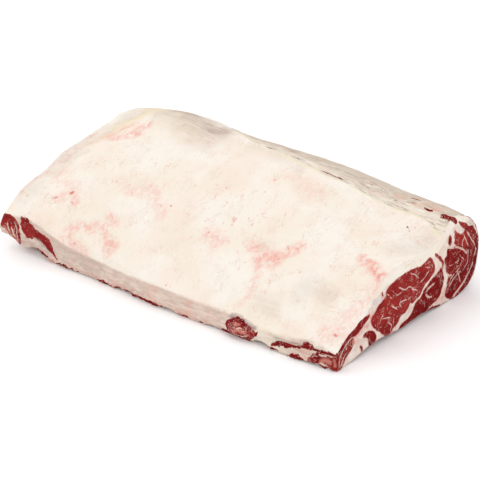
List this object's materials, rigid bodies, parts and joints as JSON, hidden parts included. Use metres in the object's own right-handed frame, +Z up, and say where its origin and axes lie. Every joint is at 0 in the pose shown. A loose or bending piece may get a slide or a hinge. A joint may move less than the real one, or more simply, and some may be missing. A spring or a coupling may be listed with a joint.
{
  "type": "raw beef rib roast",
  "caption": "Raw boneless beef rib roast with its lip on: a long slab under a sloping cap of pale fat, cut square to show the marbled rib eye, lying on its flat rib side.",
  "frame": {"origin": "under the middle of the roast, on the surface that it lies on", "axes": "+X along the back towards the cut end that shows the eye, +Y from the thin lip towards the thick chine side, +Z up from the rib side to the fat cap"},
  "size_m": [0.43, 0.2434, 0.1201],
  "materials": {
    "meat": "moist satin"
  },
  "bodies": {
    "root": {"rib_roast": "meat"}
  },
  "joints": []
}
